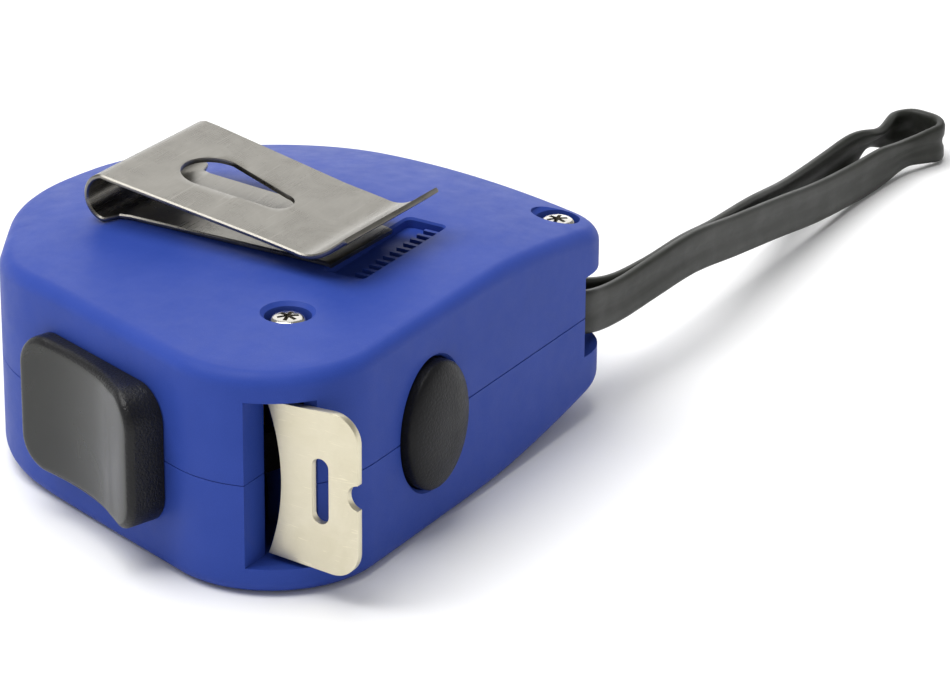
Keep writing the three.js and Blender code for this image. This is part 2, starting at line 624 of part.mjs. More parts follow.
add('case_cover', shell(true), MAT.caseBlue);
add('case_base', shell(false), MAT.caseBlue);
SCREWS.forEach((at, i) => add(`case_screw_${i + 1}`, screw(at), MAT.zinc));
add('spindle', spindle(), MAT.innerPlastic);
add('blade_guide', box(-33.2, -28.2, MOUTH_FLOOR_Y + 0.05, -20.4, -8.6, 8.6), MAT.black);
add('spool', spool(), MAT.innerPlastic);
add('spool_cover', spoolCover(), MAT.innerPlastic);
add('power_spring', spiral(5.2, 1.9, 5, 0.45, -6.9, 6.9, 20), MAT.springSteel);
add('blade_coil', spiral(COIL_R - 0.3 - 3 * COIL_PITCH, COIL_PITCH, 3, 0.55, -BLADE_W / 2, BLADE_W / 2, 30),
  MAT.bladePaint);
add('blade_strip', bladeStrip(), MAT.bladePaint);
RIVETS.forEach((at, i) => add(`hook_rivet_${i + 1}`, rivet(at), MAT.nickel));
add('end_hook', endHook(), MAT.nickel);
add('lock_button', lockButton(), MAT.black);
add('lock_slider', lockSlider(), MAT.black);
add('lock_shoe', lockShoe(), MAT.black);
add('lock_detent', lockDetent(), MAT.springSteel);
add('brake_button', brakeButton(), MAT.black);
add('brake_pad', brakePad(), MAT.rubber);
add('brake_spring', brakeSpring(), MAT.springSteel);
add('clip_base', clipBase(), MAT.clipSteel);
add('clip_arm', clipArm(), MAT.clipSteel);
add('wrist_strap', strap(), MAT.strap);

export default tape;
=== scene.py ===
"""Looks of the pocket tape measure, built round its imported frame.

Shapes are written in millimetres on the tape's working axes: x towards the rear, y up from the base
wall, z through the thickness with 0 at the parting plane. at() takes them to the row frame in metres.
"""

import math

import bmesh
import bpy
import numpy as np
from mathutils import Matrix, Vector


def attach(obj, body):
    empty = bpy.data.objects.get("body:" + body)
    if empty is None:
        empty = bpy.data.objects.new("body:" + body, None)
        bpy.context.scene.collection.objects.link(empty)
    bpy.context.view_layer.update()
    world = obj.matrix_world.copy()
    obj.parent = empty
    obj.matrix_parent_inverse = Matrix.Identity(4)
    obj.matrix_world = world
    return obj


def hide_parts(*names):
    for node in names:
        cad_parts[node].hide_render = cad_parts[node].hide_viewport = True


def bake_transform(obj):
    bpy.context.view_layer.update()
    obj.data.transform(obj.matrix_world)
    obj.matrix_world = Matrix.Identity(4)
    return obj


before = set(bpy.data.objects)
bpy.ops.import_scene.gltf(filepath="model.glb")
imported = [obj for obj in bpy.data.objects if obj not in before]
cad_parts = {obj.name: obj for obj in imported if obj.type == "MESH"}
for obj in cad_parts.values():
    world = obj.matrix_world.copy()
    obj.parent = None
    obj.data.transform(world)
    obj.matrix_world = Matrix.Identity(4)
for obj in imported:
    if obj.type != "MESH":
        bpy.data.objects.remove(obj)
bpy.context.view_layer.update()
scene = bpy.context.scene

# ---------------------------------------------------------------- dimensions, mm
SHIFT = np.array([5.68, -3.11, 12.5])
HALF = 12.5
WALL = 1.6
EDGE_R = 1.6
PARTING = 0.05
BASE_Y = -25.2
OUTLINE = [
    (-43.7, BASE_Y, 12.5),
    (23.0, BASE_Y, 6.3),
    (35.0, 35.3, 22.4),
    (-6.0, 34.6, 32.6),
    (-27.5, 21.8, 17.2),
]
CASE_CENTRE = (-12.0, -2.0)
MOUTH_TOP_Y = -16.9
MOUTH_FLOOR_Y = -21.3
MOUTH_HALF = 9.35
NOSE_X = -33.4
HOOK_X = -34.8
HOOK_T = 0.8
HOOK_LOW_Y = -28.6
HOOK_HALF = 9.2
BLADE_W = 16.0
BLADE_T = 0.25
BLADE_SAG = 1.35
BLADE_EDGE_Y = -18.65
BLADE_INNER_X = 13.8
SPOOL = (-0.5, 5.0)
SPINDLE_R = 2.8
BUTTON = {"start": 7.8, "stop": 30.3, "half": 7.8, "corner": 3.8}
LOCK_TRAVEL = 4.0
BRAKE = {"x": -15.1, "r": 7.2, "oval": 0.81, "proud": 0.9, "crown": 1.1}
SCREWS = [(-22.6, -12.3), (19.6, -19.8), (19.5, 23.0)]
SCREW_HEAD_R = 2.1
RECESS_R = 2.5
BOSS_R = 2.5
COVER_BORE_R = 1.55
BASE_BORE_R = 1.45
RIVETS = [(-28.1, 3.9), (-28.1, -3.9), (-25.7, 0.0)]
STRAP_PIN = SCREWS[1]
STRAP_BOSS_R = 2.2
STRAP_SLOT = {"x": 16.7, "inner": 15.5, "top_y": -14.9, "low": -4.7, "high": 4.8}
LOCK_SLOT = {"start": 14.5, "stop": 22.0, "half": 2.6}
STRAP_W = 5.2
STRAP_T = 1.2
STRAP_WAIST = {"x": 101, "reach": 4.2, "narrowing": 0.3, "lean": -0.75}
CLIP = {"x": -3.9, "y": 19.7, "half": 9.6, "sheet": 0.55, "tilt": 2.0}
CLIP_SEAT_Z = HALF + 0.06
CLIP_POCKET = {"x0": -11.4, "x1": 5.6, "y0": -14.2, "y1": -9.3, "deep": 1.2, "corner": 0.8}
POCKET_RIBS = {"count": 12, "x": -10.8, "pitch": 1.36, "width": 0.5, "y": -12.1, "top": 0.5}
CLIP_LOOP_R = 2.52


def at(x, y, z):
    """A point on the working axes, in the row frame in metres."""
    return Vector(((x + SHIFT[0]) / 1000, (y + SHIFT[1]) / 1000, (z + SHIFT[2]) / 1000))


# ---------------------------------------------------------------- camera
CAMERA = {"place": (-389.56, -256.67, 208.15), "azimuth": -58.852, "elevation": 24.401, "roll": 0.419,
          "lens": 177.02}


def make_camera():
    data = bpy.data.cameras.new("photo_view")
    data.sensor_width = 36
    data.lens = CAMERA["lens"]
    data.clip_start = 0.01
    data.clip_end = 10
    cam = bpy.data.objects.new("photo_view", data)
    scene.collection.objects.link(cam)
    turn = (Matrix.Rotation(math.radians(CAMERA["azimuth"]), 4, "Z")
            @ Matrix.Rotation(math.radians(90 - CAMERA["elevation"]), 4, "X")
            @ Matrix.Rotation(math.radians(CAMERA["roll"]), 4, "Z"))
    cam.matrix_world = Matrix.Translation(at(*CAMERA["place"])) @ turn
    scene.camera = cam


make_camera()


# ---------------------------------------------------------------- material nodes
class Nodes:
    """Short hand for building one material's nodes."""

    def __init__(self, name):
        self.material = bpy.data.materials.new(name)
        self.material.use_nodes = True
        self.tree = self.material.node_tree
        self.shader = self.tree.nodes["Principled BSDF"]
        self.coords = self.tree.nodes.new("ShaderNodeTexCoord").outputs["Object"]

    def node(self, kind, inputs=None, **settings):
        n = self.tree.nodes.new(kind)
        for key, value in settings.items():
            setattr(n, key, value)
        for key, value in (inputs or {}).items():
            if isinstance(value, bpy.types.NodeSocket):
                self.tree.links.new(value, n.inputs[key])
            else:
                n.inputs[key].default_value = value
        return n

    def link(self, output, socket):
        self.tree.links.new(output, socket)

    def stretched(self, scale):
        return self.node("ShaderNodeMapping", {"Vector": self.coords, "Scale": scale}).outputs[0]

    def noise(self, scale, detail=3.0, rough=0.55, vector=None, distortion=0.0):
        return self.node("ShaderNodeTexNoise", {
            "Vector": vector or self.coords, "Scale": scale, "Detail": detail, "Roughness": rough,
            "Distortion": distortion}).outputs["Fac"]

    def ramp(self, fac, low, high, out_low=0.0, out_high=1.0):
        return self.node("ShaderNodeMapRange", {
            "Value": fac, "From Min": low, "From Max": high, "To Min": out_low,
            "To Max": out_high}).outputs[0]

    def mix(self, fac, a, b):
        n = self.node("ShaderNodeMix", data_type="RGBA")
        for key, value in ((0, fac), (6, a), (7, b)):
            if isinstance(value, bpy.types.NodeSocket):
                self.tree.links.new(value, n.inputs[key])
            else:
                n.inputs[key].default_value = value
        return n.outputs[2]

    def maths(self, operation, a, b=0.5):
        return self.node("ShaderNodeMath", {0: a, 1: b}, operation=operation).outputs[0]

    def bump(self, height, distance, strength=1.0, normal=None):
        inputs = {"Height": height, "Distance": distance, "Strength": strength}
        if normal is not None:
            inputs["Normal"] = normal
        return self.node("ShaderNodeBump", inputs).outputs[0]

    def finish(self, colour, roughness, normal, metallic=0.0):
        self.link(colour, self.shader.inputs["Base Color"])
        self.link(roughness, self.shader.inputs["Roughness"])
        self.link(normal, self.shader.inputs["Normal"])
        self.shader.inputs["Metallic"].default_value = metallic
        return self.material


def rgb(r, g, b):
    return (r, g, b, 1.0)


def brighter(colour, times):
    return rgb(*[min(1.0, c * times) for c in colour[:3]])


def moulded_plastic(name, dark, light, rough, grain=9000.0, depth=0.00002, specular=0.5):
    """Matte moulded plastic: spark-eroded grain, faint flow mottling, a little uneven gloss."""
    n = Nodes(name)
    mottle = n.noise(140.0, 4.0)
    fine = n.noise(grain, 2.0, 0.6)
    rubbed = n.ramp(n.noise(420.0, 5.0, 0.65), 0.35, 0.75)
    colour = n.mix(n.ramp(mottle, 0.3, 0.7), dark, light)
    speck = n.mix(n.ramp(fine, 0.45, 0.7, 0.0, 0.16), colour, brighter(light, 1.5))
    roughness = n.ramp(rubbed, 0.0, 1.0, rough - 0.06, rough + 0.06)
    normal = n.bump(fine, depth, 0.6, n.bump(mottle, 0.00003, 0.3))
    n.shader.inputs["Specular IOR Level"].default_value = specular
    return n.finish(speck, roughness, normal)


def satin_metal(name, dark, light, rough, grain_scale, scuff=0.3, depth=0.000006):
    """Rolled sheet metal: a fine grain along one direction, tarnish and stray scratches."""
    n = Nodes(name)
    grain = n.noise(1.0, 3.0, 0.6, n.stretched(grain_scale))
    tarnish = n.noise(170.0, 6.0, 0.62, distortion=0.6)
    scratch = n.noise(1.0, 1.0, 0.4, n.stretched(tuple(v * 0.37 for v in grain_scale)), 1.6)
    lines = n.ramp(scratch, 0.68, 0.74)
    colour = n.mix(n.ramp(tarnish, 0.32, 0.68), dark, light)
    colour = n.mix(n.maths("MULTIPLY", lines, scuff), colour, brighter(light, 1.35))
    base = n.ramp(tarnish, 0.3, 0.75, rough - 0.07, rough + 0.09)
    roughness = n.maths("ADD", base, n.ramp(grain, 0.3, 0.7, -0.05, 0.05))
    normal = n.bump(grain, depth, 0.7, n.bump(lines, 0.000012, 0.5 * scuff))
    return n.finish(colour, roughness, normal, 1.0)


MAT = {
    "case": moulded_plastic("case_plastic", rgb(0.024, 0.055, 0.298), rgb(0.029, 0.062, 0.323), 0.50,
                            specular=0.12),
    "black": moulded_plastic("black_plastic", rgb(0.005, 0.005, 0.006), rgb(0.010, 0.010, 0.011), 0.36,
                             3600.0, 0.00013, specular=0.27),
    "brake": moulded_plastic("brake_plastic", rgb(0.005, 0.005, 0.006), rgb(0.010, 0.010, 0.011), 0.38,
                             3600.0, 0.00011, specular=0.15),
    "inner": moulded_plastic("inner_plastic", rgb(0.030, 0.032, 0.038), rgb(0.050, 0.052, 0.060), 0.55),
    "rubber": moulded_plastic("pad_rubber", rgb(0.010, 0.010, 0.010), rgb(0.020, 0.019, 0.018), 0.8,
                              2600.0, 0.00005),
    "clip": satin_metal("clip_steel", rgb(0.175, 0.166, 0.146), rgb(0.262, 0.250, 0.224), 0.31,
                        (260.0, 9000.0, 9000.0), 0.35),
    "hook": satin_metal("hook_nickel", rgb(0.63, 0.58, 0.43), rgb(0.73, 0.68, 0.53), 0.42,
                        (9000.0, 700.0, 9000.0), 0.25),
    "zinc": satin_metal("screw_zinc", rgb(0.50, 0.48, 0.44), rgb(0.68, 0.66, 0.60), 0.2,
                        (5000.0, 5000.0, 5000.0), 0.2),
    "spring": satin_metal("spring_steel", rgb(0.13, 0.14, 0.17), rgb(0.24, 0.25, 0.28), 0.33,
                          (900.0, 900.0, 9000.0), 0.3),
}


def lock_face_material():
    """The thumb face: the same black moulding polished smooth, greyed by handling."""
    n = Nodes("lock_face")
    smear = n.noise(190.0, 5.0, 0.6, distortion=0.8)
    fine = n.noise(7000.0, 2.0)
    colour = n.mix(n.ramp(smear, 0.3, 0.7), rgb(0.011, 0.012, 0.010), rgb(0.020, 0.021, 0.018))
    specks = n.ramp(n.noise(900.0, 2.0, 0.7), 0.70, 0.78, 0.0, 0.5)
    colour = n.mix(specks, colour, rgb(0.012, 0.012, 0.012))
    n.shader.inputs["Specular IOR Level"].default_value = 0.32
    return n.finish(colour, n.ramp(smear, 0.2, 0.8, 0.20, 0.30), n.bump(fine, 0.000006, 0.5))


def strap_material():
    """Moulded soft vinyl: satin, with drawn-out flow lines and pale rubbed patches."""
    n = Nodes("strap_vinyl")
    flow = n.noise(1.0, 4.0, 0.6, n.stretched((60.0, 900.0, 900.0)))
    rub = n.noise(260.0, 5.0, 0.65)
    fine = n.noise(6500.0, 2.0)
    colour = n.mix(n.ramp(flow, 0.3, 0.7), rgb(0.011, 0.012, 0.009), rgb(0.020, 0.021, 0.017))
    colour = n.mix(n.ramp(rub, 0.55, 0.8, 0.0, 0.5), colour, rgb(0.050, 0.051, 0.043))
    n.shader.inputs["Specular IOR Level"].default_value = 0.3
    return n.finish(colour, n.ramp(rub, 0.3, 0.7, 0.38, 0.52),
                    n.bump(fine, 0.00002, 0.4, n.bump(flow, 0.00004, 0.4)))


def blade_material():
    """Yellow enamel with plain graduation marks every millimetre, longer at 5 and 10 mm."""
    n = Nodes("blade_enamel")
    split = n.node("ShaderNodeSeparateXYZ", {"Vector": n.coords})
    along = n.maths("ADD", n.maths("MULTIPLY", split.outputs[0], 1000.0), 500.0)
    height = n.maths("MULTIPLY", split.outputs[2], 1000.0)
    across = n.maths("ABSOLUTE", n.maths("SUBTRACT", height, SHIFT[2]))

    def marks(pitch, width, inner):
        wrapped = n.maths("MODULO", along, pitch)
        line = n.maths("LESS_THAN", wrapped, width)
        return n.maths("MULTIPLY", line, n.maths("GREATER_THAN", across, inner))

    longer = n.maths("MAXIMUM", marks(5.0, 0.2, 4.9), marks(10.0, 0.28, 3.2))
    ink = n.maths("MAXIMUM", marks(1.0, 0.2, 6.0), longer)
    mottle = n.noise(300.0, 4.0)
    enamel = n.mix(n.ramp(mottle, 0.3, 0.7), rgb(0.74, 0.43, 0.022), rgb(0.80, 0.50, 0.035))
    colour = n.mix(ink, enamel, rgb(0.012, 0.012, 0.012))
    return n.finish(colour, n.ramp(mottle, 0.3, 0.7, 0.24, 0.36), n.bump(mottle, 0.00002, 0.4))


MAT["face"] = lock_face_material()
MAT["strap"] = strap_material()
MAT["blade"] = blade_material()


# ---------------------------------------------------------------- mesh helpers
def new_object(name, points, faces, material=None, smooth_deg=30.0):
    """A mesh object from points on the working axes in mm."""
    mesh = bpy.data.meshes.new(name)
    mesh.from_pydata([at(*p) for p in points], [], faces)
    mesh.validate()
    obj = bpy.data.objects.new(name, mesh)
    scene.collection.objects.link(obj)
    if material is not None:
        mesh.materials.append(material)
    shade(obj, smooth_deg)
    return obj


def shade(obj, degrees=30.0):
    """Outward normals, smooth shading, and sharp edges where faces meet at more than the angle."""
    bm = bmesh.new()
    bm.from_mesh(obj.data)
    bmesh.ops.recalc_face_normals(bm, faces=bm.faces)
    limit = math.radians(degrees)
    for edge in bm.edges:
        edge.smooth = len(edge.link_faces) == 2 and edge.calc_face_angle(0.0) < limit
    for face in bm.faces:
        face.smooth = True
    bm.to_mesh(obj.data)
    bm.free()


def flatten(obj, axis):
    """Keeps the large flat faces across an axis flat, so the rounded rims don't shade them."""
    for face in obj.data.polygons:
        if abs(face.normal[axis]) > 0.9999:
            face.use_smooth = False


def apply_modifiers(obj):
    graph = bpy.context.evaluated_depsgraph_get()
    mesh = bpy.data.meshes.new_from_object(obj.evaluated_get(graph))
    obj.modifiers.clear()
    obj.data = mesh


def carve(obj, cutter, operation="DIFFERENCE"):
    """Joins or cuts with another object, which is then gone."""
    m = obj.modifiers.new("carve", "BOOLEAN")
    m.operation = operation
    m.object = cutter
    m.solver = "EXACT"
    apply_modifiers(obj)
    mesh = cutter.data
    bpy.data.objects.remove(cutter)
    bpy.data.meshes.remove(mesh)


def prism(name, outline, z0, z1, axis="z"):
    """A closed prism on an outline. axis says which way it runs: z, y (outline in x and z) or x."""
    n = len(outline)
    place = {
        "z": lambda a, b, c: (a, b, c),
        "y": lambda a, b, c: (a, c, b),
        "x": lambda a, b, c: (c, a, b),
    }[axis]
    points = [place(a, b, z0) for a, b in outline] + [place(a, b, z1) for a, b in outline]
    faces = [list(range(n)), list(range(n, 2 * n))]
    faces += [[i, (i + 1) % n, n + (i + 1) % n, n + i] for i in range(n)]
    return new_object(name, points, faces)


def box(name, x0, x1, y0, y1, z0, z1):
    return prism(name, [(x0, y0), (x1, y0), (x1, y1), (x0, y1)], z0, z1)


def loft(name, rings, material=None, smooth_deg=30.0, caps=True):
    """Joins rings of points, each with as many points, into a skin with flat ends."""
    n = len(rings[0])
    points = [p for ring in rings for p in ring]
    faces = []
    for k in range(len(rings) - 1):
        for i in range(n):
            j = (i + 1) % n
            faces.append([k * n + i, k * n + j, (k + 1) * n + j, (k + 1) * n + i])
    if caps:
        faces.append(list(range(n)))
        faces.append([(len(rings) - 1) * n + i for i in range(n)])
    return new_object(name, points, faces, material, smooth_deg)


def revolved(name, profile, centre, axis="z", segments=72, oval=1.0, material=None, smooth_deg=30.0):
    """A profile of (radius, height) turned about z or y through centre. Radius 0 ends close it."""
    rings = []
    for r, h in profile:
        ring = []
        for i in range(segments):
            a = 2 * math.pi * i / segments
            u, v = oval * max(r, 1e-4) * math.cos(a), max(r, 1e-4) * math.sin(a)
            if axis == "z":
                ring.append((centre[0] + u, centre[1] + v, h))
            else:
                ring.append((centre[0] + u, h, centre[1] + v))
        rings.append(ring)
    return loft(name, rings, material, smooth_deg)


def arc(cx, cy, r, start, stop, steps):
    return [(cx + r * math.cos(start + (stop - start) * i / steps),
             cy + r * math.sin(start + (stop - start) * i / steps)) for i in range(steps + 1)]


def rounded(corners, degrees=2.0, run=1.5):
    """Counter-clockwise convex polygon with rounded corners, in short steps all round."""
    out = []
    count = len(corners)
    for i, (x, y, r) in enumerate(corners):
        px, py = corners[i - 1][:2]
        nx, ny = corners[(i + 1) % count][:2]
        a0 = math.atan2(y - py, x - px)
        turn = (math.atan2(ny - y, nx - x) - a0) % (2 * math.pi)
        reach = r * math.tan(turn / 2)
        cx = x - reach * math.cos(a0) - r * math.sin(a0)
        cy = y - reach * math.sin(a0) + r * math.cos(a0)
        steps = max(3, round(math.degrees(turn) / degrees))
        out += arc(cx, cy, r, a0 - math.pi / 2, a0 - math.pi / 2 + turn, steps)
    cut = []
    for (x, y), (nx, ny) in zip(out, out[1:] + out[:1]):
        length = math.hypot(nx - x, ny - y)
        if length < 1e-4:
            continue
        pieces = max(1, math.ceil(length / run))
        cut += [(x + (nx - x) * k / pieces, y + (ny - y) * k / pieces) for k in range(pieces)]
    return cut


def inset_corners(corners, inset):
    count = len(corners)
    lines = []
    for i, (x, y, r) in enumerate(corners):
        nx, ny = corners[(i + 1) % count][:2]
        length = math.hypot(nx - x, ny - y)
        dx, dy = (nx - x) / length, (ny - y) / length
        lines.append((x - dy * inset, y + dx * inset, dx, dy))
    out = []
    for i, (x, y, r) in enumerate(corners):
        ax, ay, adx, ady = lines[i - 1]
        bx, by, bdx, bdy = lines[i]
        t = ((bx - ax) * bdy - (by - ay) * bdx) / (adx * bdy - ady * bdx)
        out.append((ax + adx * t, ay + ady * t, max(0.6, r - inset)))
    return out


def normals_of(outline):
    n = len(outline)
    out = []
    for i in range(n):
        ax, ay = outline[i - 1]
        bx, by = outline[(i + 1) % n]
        length = math.hypot(bx - ax, by - ay)
        out.append((-(by - ay) / length, (bx - ax) / length))
    return out


def crowned_rings(outline, centre, z0, height, edge_r, edge_steps, face_steps, foot=0.0):
    """Rings of a crowned solid: walls from z0, a round edge, a face of height(x, y)."""
    normals = normals_of(outline)
    rings = []
    if foot:
        rings.append([(x + n[0] * foot, y + n[1] * foot, z0) for (x, y), n in zip(outline, normals)])
        rings.append([(x, y, z0 + foot) for x, y in outline])
    else:
        rings.append([(x, y, z0) for x, y in outline])
    for k in range(edge_steps + 1):
        a = math.pi / 2 * k / edge_steps
        inset, drop = edge_r * (1 - math.cos(a)), edge_r * (1 - math.sin(a))
        ring = [(x + n[0] * inset, y + n[1] * inset) for (x, y), n in zip(outline, normals)]
        rings.append([(x, y, height(x, y) - drop) for x, y in ring])
    rim = rings[-1]
    for k in range(1, face_steps):
        s = 1 - k / face_steps
        ring = [(centre[0] + (x - centre[0]) * s, centre[1] + (y - centre[1]) * s) for x, y, _ in rim]
        rings.append([(x, y, height(x, y)) for x, y in ring])
    return rings


def case_height(x, y):
    u, v = x / 30, y / 30
    t = 1.082 - 0.207 * u - 0.0735 * v - 0.208 * u * u - 0.224 * v * v + 0.009 * u * v
    # the flat middle runs into the falling rim without a crease
    soft = 0.02
    return HALF * 0.5 * (1 + t - math.sqrt((1 - t) ** 2 + soft ** 2))


# ---------------------------------------------------------------- front wall frame
P_TOP, P_NOSE = OUTLINE[4], OUTLINE[0]
FRONT_LEN = math.hypot(P_NOSE[0] - P_TOP[0], P_NOSE[1] - P_TOP[1])
FRONT_DIR = ((P_NOSE[0] - P_TOP[0]) / FRONT_LEN, (P_NOSE[1] - P_TOP[1]) / FRONT_LEN)
FRONT_OUT = (FRONT_DIR[1], -FRONT_DIR[0])


def on_front(along, across, out):
    """A point given along the front wall, across the thickness, and out of the wall."""
    return (P_TOP[0] + FRONT_DIR[0] * along + FRONT_OUT[0] * out,
            P_TOP[1] + FRONT_DIR[1] * along + FRONT_OUT[1] * out, -across)


def front_box(name, a0, a1, c0, c1, o0, o1):
    corners = [on_front(a, c, o) for o in (o0, o1) for a, c in ((a0, c0), (a1, c0), (a1, c1), (a0, c1))]
    faces = [[0, 1, 2, 3], [4, 5, 6, 7], [0, 1, 5, 4], [1, 2, 6, 5], [2, 3, 7, 6], [3, 0, 4, 7]]
    return new_object(name, corners, faces)


# ---------------------------------------------------------------- wrist strap
STRAP_OUT = [(20.9, -23.2, -1.2), (24.5, -23.1, -2.0), (29, -23.05, -2.45), (36, -23.1, -2.55),
             (45, -23.1, -2.85), (56, -22.8, -4.7), (67, -22.5, -6.5), (78, -22.2, -8.4), (89, -22.0, -9.6),
             (96, -22.2, -9.8), (101, -22.7, -9.8), (104, -23.8, -9.8), (106.6, -24.6, -9.8)]
STRAP_BACK = [(108.4, -23.4, -9.8), (109.0, -21.4, -9.8), (109.0, -19.6, -9.8), (107.6, -18.2, -9.8),
              (104.5, -17.9, -9.3), (98.5, -18.2, -8.5), (88, -18.0, -8.9), (76, -18.8, -8.1),
              (64, -20.2, -6.0), (52, -21.4, -4.5), (45, -21.75, -3.55), (36, -21.7, -3.3),
              (29, -20.9, -3.0), (24.5, -19.4, -2.0), (20.9, -17.2, -1.2)]


def centripetal(points, spacing):
    """Centripetal Catmull-Rom curve through the points, as evenly spaced points."""
    pts = [np.array(p, float) for p in points]
    pts = [2 * pts[0] - pts[1], *pts, 2 * pts[-1] - pts[-2]]
    dense = []
    for p0, p1, p2, p3 in zip(pts, pts[1:], pts[2:], pts[3:]):
        knots = [0.0]
        for a, b in ((p0, p1), (p1, p2), (p2, p3)):
            knots.append(knots[-1] + max(1e-4, np.linalg.norm(b - a)) ** 0.5)
        t0, t1, t2, t3 = knots
        for i in range(24):
            t = t1 + (t2 - t1) * i / 24
            a1 = (t1 - t) / (t1 - t0) * p0 + (t - t0) / (t1 - t0) * p1
            a2 = (t2 - t) / (t2 - t1) * p1 + (t - t1) / (t2 - t1) * p2
            a3 = (t3 - t) / (t3 - t2) * p2 + (t - t2) / (t3 - t2) * p3
            b1 = (t2 - t) / (t2 - t0) * a1 + (t - t0) / (t2 - t0) * a2
            b2 = (t3 - t) / (t3 - t1) * a2 + (t - t1) / (t3 - t1) * a3
            dense.append((t2 - t) / (t2 - t1) * b1 + (t - t1) / (t2 - t1) * b2)
    dense = np.array([*dense, pts[-2]])
    steps = np.r_[0, np.cumsum(np.linalg.norm(np.diff(dense, axis=0), axis=1))]
    count = int(steps[-1] / spacing)
    even = np.linspace(0, steps[-1], count + 1)
    return np.stack([np.interp(even, steps, dense[:, k]) for k in range(3)], 1), steps[-1]


def make_strap():
    r = STRAP_BOSS_R + 0.25 + STRAP_T / 2

    def turn(start, stop):
        return [(x, y, -0.8) for x, y in arc(*STRAP_PIN, r, math.radians(start), math.radians(stop), 4)]

    route = [*turn(184, 262), *STRAP_OUT, *STRAP_BACK, *turn(98, 176)]
    line, length = centripetal(route, 0.45)
    # section: thickness and height, with rounded rims and a shallow groove along each face
    t, h = STRAP_T / 2, STRAP_W / 2
    section = [(t - 0.26, 0), (t - 0.22, 0.45), (t - 0.05, 0.85), (t, 1.4), (t, 2.1), (t - 0.12, 2.42),
               (t - 0.36, h), (0, h)]
    half = section + [(-a, b) for a, b in reversed(section[:-1])]
    profile = half + [(a, -b) for a, b in reversed(half[1:-1])]
    rings = []
    tangent = np.gradient(line, axis=0)
    for p, d in zip(line, tangent):
        # the band narrows before the turned end, where its far run also leans in
        waist = math.exp(-(((p[0] - STRAP_WAIST["x"]) / STRAP_WAIST["reach"]) ** 2))
        lean = Matrix.Rotation(waist * STRAP_WAIST["lean"] if d[0] < 0 else 0.0, 3, Vector(d).normalized())
        side = np.array(lean @ Vector((-d[1], d[0], 0.0)).normalized())
        up = np.array(lean @ Vector((0.0, 0.0, 1.0))) * (1 - STRAP_WAIST["narrowing"] * waist)
        rings.append([tuple(p + side * a + up * b) for a, b in profile])
    strap = loft("strap_band", rings, MAT["strap"], 50)
    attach(strap, "strap")
    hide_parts("wrist_strap")


make_strap()


# ---------------------------------------------------------------- case shells
def case_solid(name, corners, centre, z0, height, edge_r, edge_steps, face_steps, foot=0.0, degrees=2.0):
    rings = crowned_rings(rounded(corners, degrees), centre, z0, height, edge_r, edge_steps, face_steps, foot)
    return loft(name, rings, MAT["case"], 28)


def outer_solid():
    return case_solid("outer", OUTLINE, CASE_CENTRE, PARTING - 0.02, case_height, EDGE_R, 7, 22, 0.05)


def inside_outer(cutter_parts):
    """Joins the parts and keeps what lies inside the case's outer skin."""
    first = cutter_parts[0]
    for part in cutter_parts[1:]:
        carve(first, part, "UNION")
    skin = case_solid("skin", inset_corners(OUTLINE, 0.4), CASE_CENTRE, PARTING,
                      lambda x, y: case_height(x, y) - 0.4, EDGE_R - 0.3, 3, 12, 0.0, 5.0)
    carve(first, skin, "INTERSECT")
    return first


def ring_cut(x, y, r, seat, flare):
    """A round recess with a small broken edge at the case's surface."""
    top = case_height(x, y)
    return revolved("recess", [(0, seat), (r, seat), (r, top - flare - 0.25), (r + flare + 0.25, top),
                               (r + flare + 0.25, 16), (0, 16)], (x, y), segments=64)


def brake_cut():
    r = BRAKE["r"] + 0.2
    return revolved("brake_cut", [(0, BASE_Y - 3), (r + 0.35, BASE_Y - 3), (r + 0.35, BASE_Y - 0.02),
                                  (r, BASE_Y + 0.35), (r, BASE_Y + 4), (0, BASE_Y + 4)],
                    (BRAKE["x"], 0), "y", 72, BRAKE["oval"])


def clip_pocket():
    x0, x1, y0, y1, deep, corner = CLIP_POCKET.values()
    outline = rounded([(x0, y0, corner), (x1, y0, corner), (x1, y1, corner), (x0, y1, corner)], 15, 4)
    mid_x, mid_y = (x0 + x1) / 2, (y0 + y1) / 2
    wide = [(x + (x - mid_x) * 0.025, y + (y - mid_y) * 0.08) for x, y in outline]
    levels = [(outline, HALF - deep), (outline, HALF - 0.3), (wide, HALF + 0.02), (wide, 16.0)]
    pocket = loft("pocket", [[(x, y, z) for x, y in plan] for plan, z in levels])
    for i in range(POCKET_RIBS["count"]):
        x = POCKET_RIBS["x"] + i * POCKET_RIBS["pitch"]
        carve(pocket, box("rib", x, x + POCKET_RIBS["width"], y0 - 0.6, POCKET_RIBS["y"], HALF - 1.6,
                          HALF - POCKET_RIBS["top"]))
    return pocket


